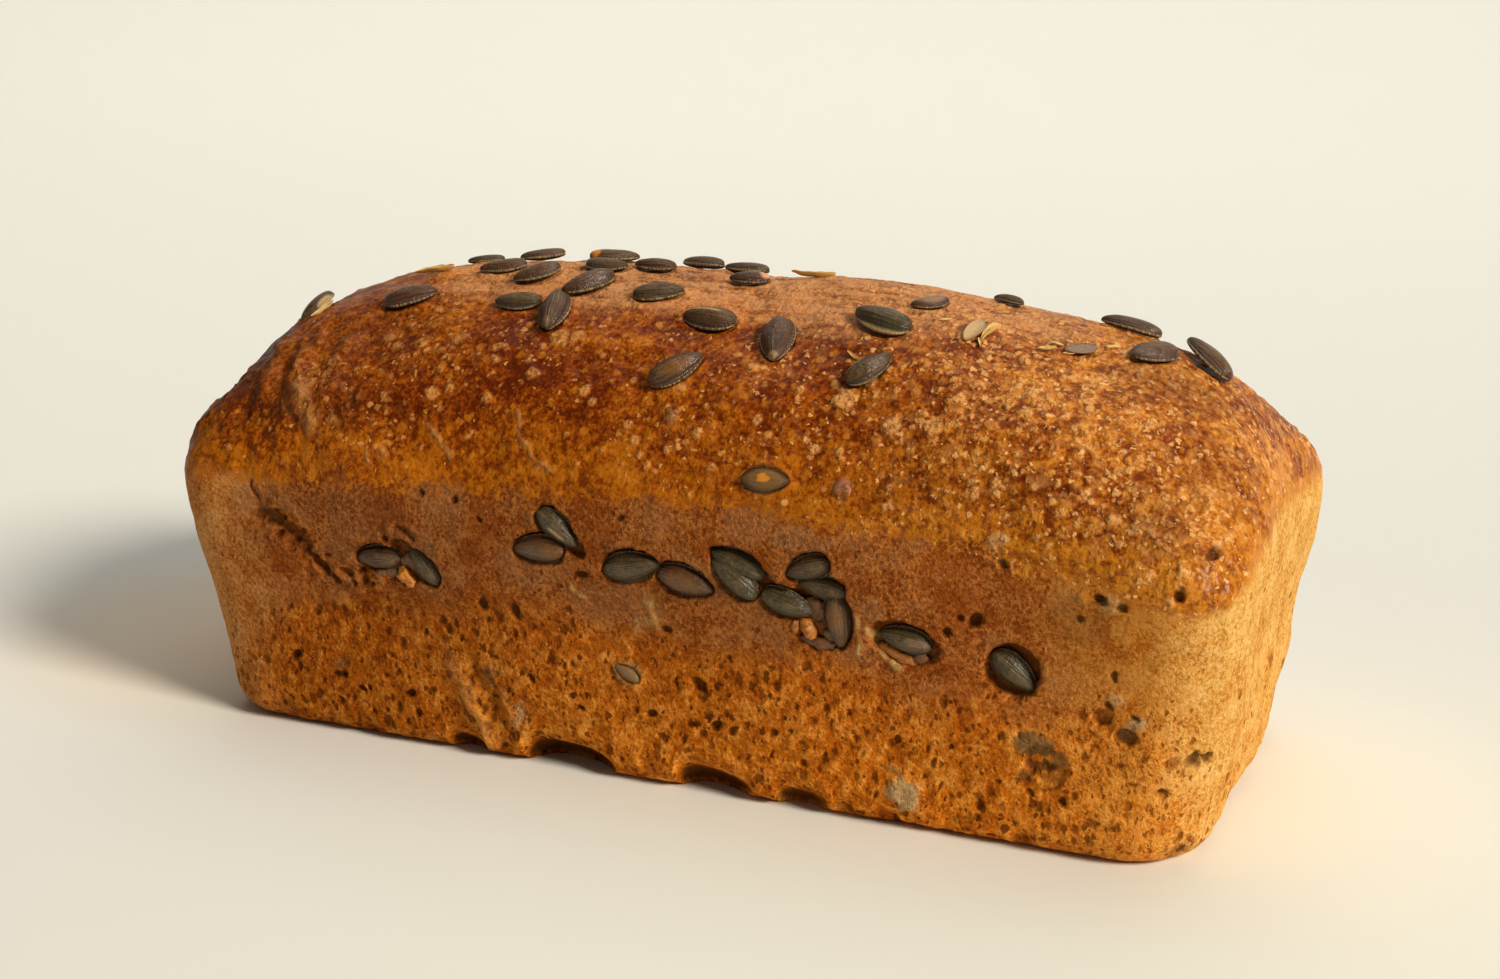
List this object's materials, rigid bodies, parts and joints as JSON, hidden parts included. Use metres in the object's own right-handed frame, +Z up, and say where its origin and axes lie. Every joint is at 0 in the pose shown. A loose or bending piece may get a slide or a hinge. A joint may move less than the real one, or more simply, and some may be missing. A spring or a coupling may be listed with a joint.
{
  "type": "spelt sourdough loaf",
  "caption": "Tin-baked spelt sourdough loaf with tapered sides, a rounded blistered top, and pumpkin seeds on the dome and in pockets along the front side.",
  "frame": {"origin": "middle of the flat base, on the surface the loaf stands on", "axes": "+X along the loaf towards its right-hand end, -Y out of the front side with the seed pockets, +Z up"},
  "size_m": [0.278, 0.1183, 0.1219],
  "materials": {
    "crust": "baked brown crust, glossy and blistered on the dome, matte and porous on the sides"
  },
  "bodies": {
    "root": {"loaf": "crust"}
  },
  "joints": []
}
